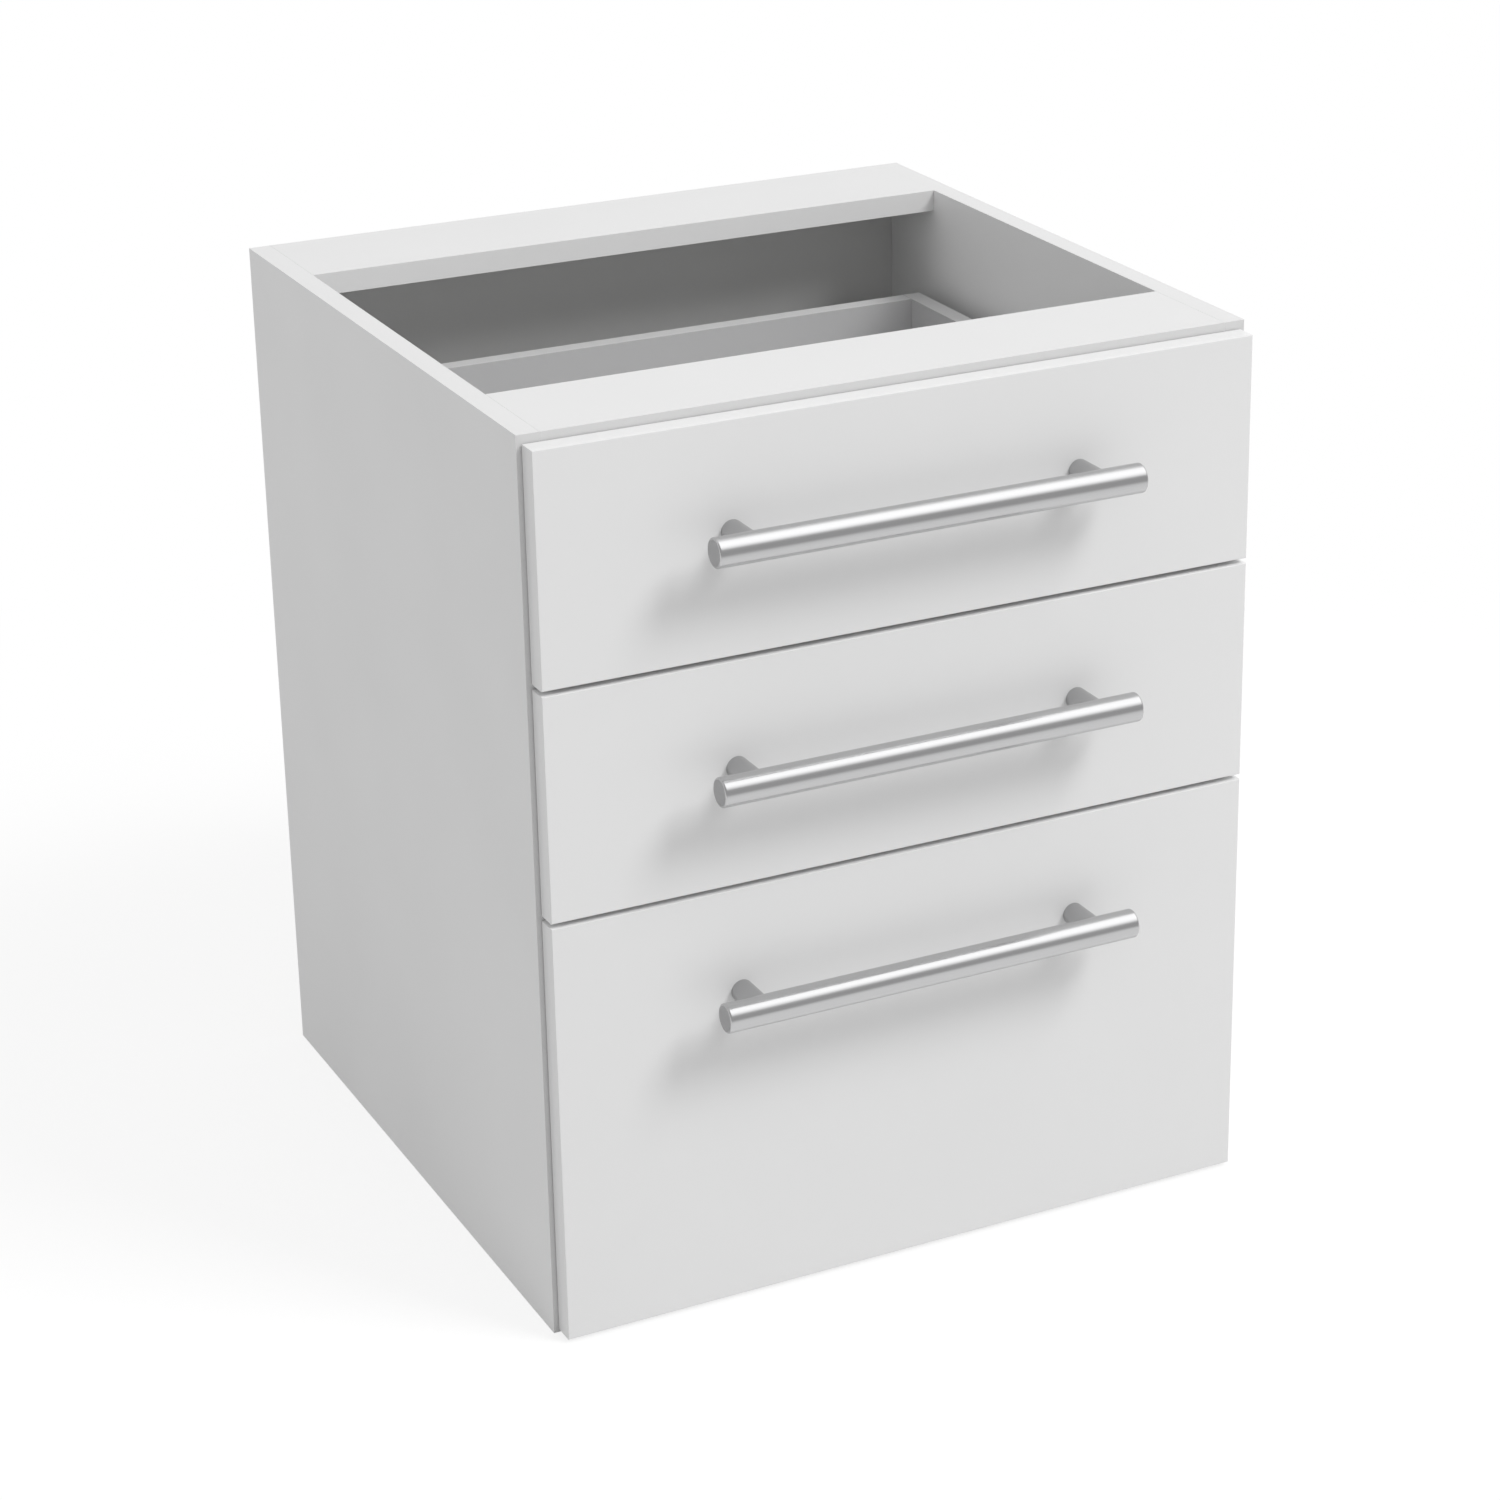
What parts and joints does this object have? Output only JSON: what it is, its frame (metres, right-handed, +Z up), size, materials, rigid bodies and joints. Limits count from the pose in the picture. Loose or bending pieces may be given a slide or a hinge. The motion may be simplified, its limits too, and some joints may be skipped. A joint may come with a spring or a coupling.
{
  "type": "kitchen drawer base cabinet",
  "caption": "White kitchen base cabinet, open on top between a front and a rear rail, with drawers on roller runners and round steel bar handles.",
  "frame": {"origin": "middle of the base panel on the floor plane: halfway between the side panels and halfway between their front and rear edges", "axes": "+Z up, -Y out of the drawer fronts, +X to the right of someone who faces the fronts"},
  "size_m": [0.6, 0.6375, 0.72],
  "materials": {
    "faced_board": "particle board with a satin white facing",
    "box_board": "particle board with a satin white facing",
    "thin_board": "hard fibre board, lacquered white",
    "handle_steel": "fine brushed along the bar",
    "runner_steel": "white epoxy powder coat",
    "roller_nylon": "natural nylon",
    "screw_steel": "bright zinc plate",
    "cam_zinc": "die-cast zinc",
    "bumper_soft": "soft clear dots"
  },
  "bodies": {
    "carcass": {"side_panel_left": "faced_board", "side_panel_right": "faced_board", "base_panel": "faced_board", "back_panel": "thin_board", "front_rail": "faced_board", "rear_rail": "faced_board", "cam_bolts": "screw_steel", "cam_discs": "cam_zinc", "cabinet_runner_screws": "screw_steel", "top_cabinet_runner_left": "runner_steel", "top_cabinet_runner_right": "runner_steel", "middle_cabinet_runner_left": "runner_steel", "middle_cabinet_runner_right": "runner_steel", "bottom_cabinet_runner_left": "runner_steel", "bottom_cabinet_runner_right": "runner_steel"},
    "top_front_roller_pair": {"top_front_rollers": "roller_nylon"},
    "middle_front_roller_pair": {"middle_front_rollers": "roller_nylon"},
    "bottom_front_roller_pair": {"bottom_front_rollers": "roller_nylon"},
    "top_drawer": {"top_front": "faced_board", "top_box_front": "box_board", "top_box_left": "box_board", "top_box_right": "box_board", "top_box_back": "box_board", "top_box_bottom": "thin_board", "top_drawer_runner_left": "runner_steel", "top_drawer_runner_right": "runner_steel", "top_box_screws": "screw_steel", "top_handle_bar": "handle_steel", "top_handle_posts": "handle_steel", "top_handle_screws": "screw_steel", "top_bumpers": "bumper_soft"},
    "top_rear_roller_pair": {"top_rear_rollers": "roller_nylon"},
    "middle_drawer": {"middle_front": "faced_board", "middle_box_front": "box_board", "middle_box_left": "box_board", "middle_box_right": "box_board", "middle_box_back": "box_board", "middle_box_bottom": "thin_board", "middle_drawer_runner_left": "runner_steel", "middle_drawer_runner_right": "runner_steel", "middle_box_screws": "screw_steel", "middle_handle_bar": "handle_steel", "middle_handle_posts": "handle_steel", "middle_handle_screws": "screw_steel", "middle_bumpers": "bumper_soft"},
    "middle_rear_roller_pair": {"middle_rear_rollers": "roller_nylon"},
    "bottom_drawer": {"bottom_front": "faced_board", "bottom_box_front": "box_board", "bottom_box_left": "box_board", "bottom_box_right": "box_board", "bottom_box_back": "box_board", "bottom_box_bottom": "thin_board", "bottom_drawer_runner_left": "runner_steel", "bottom_drawer_runner_right": "runner_steel", "bottom_box_screws": "screw_steel", "bottom_handle_bar": "handle_steel", "bottom_handle_posts": "handle_steel", "bottom_handle_screws": "screw_steel", "bottom_bumpers": "bumper_soft"},
    "bottom_rear_roller_pair": {"bottom_rear_rollers": "roller_nylon"}
  },
  "joints": [
    {"name": "top_drawer_slide", "type": "slide", "parent": "carcass", "child": "top_drawer", "axis": [0, -1, 0], "range_m": [0, 0.34]},
    {"name": "middle_drawer_slide", "type": "slide", "parent": "carcass", "child": "middle_drawer", "axis": [0, -1, 0], "range_m": [0, 0.34]},
    {"name": "bottom_drawer_slide", "type": "slide", "parent": "carcass", "child": "bottom_drawer", "axis": [0, -1, 0], "range_m": [0, 0.34]},
    {"name": "top_front_rollers_turn", "type": "hinge", "parent": "carcass", "child": "top_front_roller_pair", "pos_m": [0, -0.271, 0.5467], "axis": [1, 0, 0], "continuous": true},
    {"name": "top_rear_rollers_turn", "type": "hinge", "parent": "top_drawer", "child": "top_rear_roller_pair", "pos_m": [0, 0.153, 0.5497], "axis": [1, 0, 0], "continuous": true},
    {"name": "middle_front_rollers_turn", "type": "hinge", "parent": "carcass", "child": "middle_front_roller_pair", "pos_m": [0, -0.271, 0.3647], "axis": [1, 0, 0], "continuous": true},
    {"name": "middle_rear_rollers_turn", "type": "hinge", "parent": "middle_drawer", "child": "middle_rear_roller_pair", "pos_m": [0, 0.153, 0.3677], "axis": [1, 0, 0], "continuous": true},
    {"name": "bottom_front_rollers_turn", "type": "hinge", "parent": "carcass", "child": "bottom_front_roller_pair", "pos_m": [0, -0.271, 0.0337], "axis": [1, 0, 0], "continuous": true},
    {"name": "bottom_rear_rollers_turn", "type": "hinge", "parent": "bottom_drawer", "child": "bottom_rear_roller_pair", "pos_m": [0, 0.153, 0.0367], "axis": [1, 0, 0], "continuous": true}
  ],
  "couplings": [
    {"joint": "top_front_rollers_turn", "follows": "top_drawer_slide", "rad_per_m": 100},
    {"joint": "top_rear_rollers_turn", "follows": "top_drawer_slide", "rad_per_m": 76.923},
    {"joint": "middle_front_rollers_turn", "follows": "middle_drawer_slide", "rad_per_m": 100},
    {"joint": "middle_rear_rollers_turn", "follows": "middle_drawer_slide", "rad_per_m": 76.923},
    {"joint": "bottom_front_rollers_turn", "follows": "bottom_drawer_slide", "rad_per_m": 100},
    {"joint": "bottom_rear_rollers_turn", "follows": "bottom_drawer_slide", "rad_per_m": 76.923}
  ]
}
